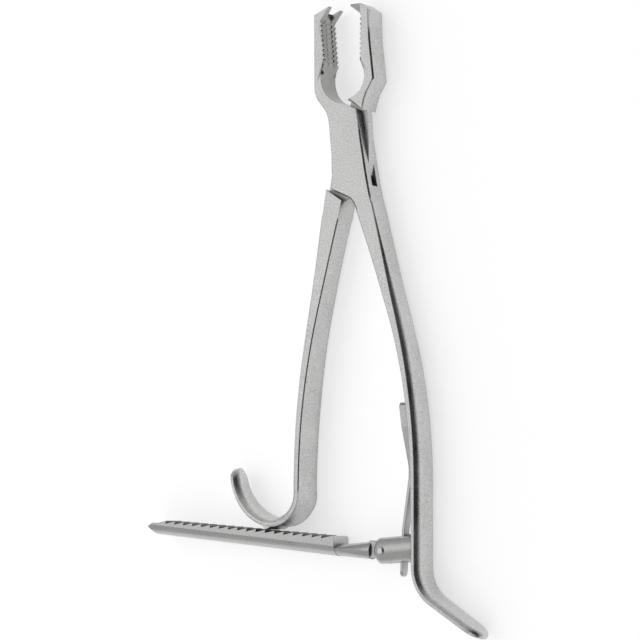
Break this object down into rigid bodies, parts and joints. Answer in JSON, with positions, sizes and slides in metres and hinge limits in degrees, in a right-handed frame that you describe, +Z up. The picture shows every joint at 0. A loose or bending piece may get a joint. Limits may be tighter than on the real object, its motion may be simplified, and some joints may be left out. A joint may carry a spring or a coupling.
{
  "type": "bone holding forceps",
  "caption": "Box joint bone holding forceps with serrated toothed jaws, a finger hook and a spring-loaded bar ratchet between the handles.",
  "frame": {"origin": "under the middle of the whole instrument, on the plane that its handles rest on when it lies flat", "axes": "+Z up from that plane and along the box pin, +Y towards the jaws, +X towards the handle that carries the ratchet clevis"},
  "size_m": [0.2052, 0.3318, 0.0188],
  "materials": {
    "forged_steel": "satin, bead blasted surgical stainless steel",
    "turned_steel": "satin stainless steel, milled teeth",
    "spring_steel": "fine ground spring steel",
    "pin_steel": "ground flush or domed pin ends"
  },
  "bodies": {
    "female": {"female_half": "forged_steel", "box_pin": "pin_steel", "ratchet_clevis": "turned_steel", "ratchet_pin": "pin_steel", "leaf_spring": "spring_steel", "spring_rivet": "pin_steel"},
    "male": {"male_half": "forged_steel"},
    "bar": {"ratchet_bar": "turned_steel"}
  },
  "joints": [
    {"name": "box_joint", "type": "hinge", "parent": "female", "child": "male", "pos_m": [0.02628, 0.08496, 0.00941], "axis": [0, 0, 1], "range_deg": [-18, 9.5]},
    {"name": "rack_pivot", "type": "hinge", "parent": "female", "child": "bar", "pos_m": [0.0449, -0.12183, 0.00941], "axis": [0, 0, 1], "range_deg": [-9.2, 4.9]}
  ],
  "couplings": [
    {"joint": "rack_pivot", "follows": "box_joint", "ratio": 0.505}
  ]
}
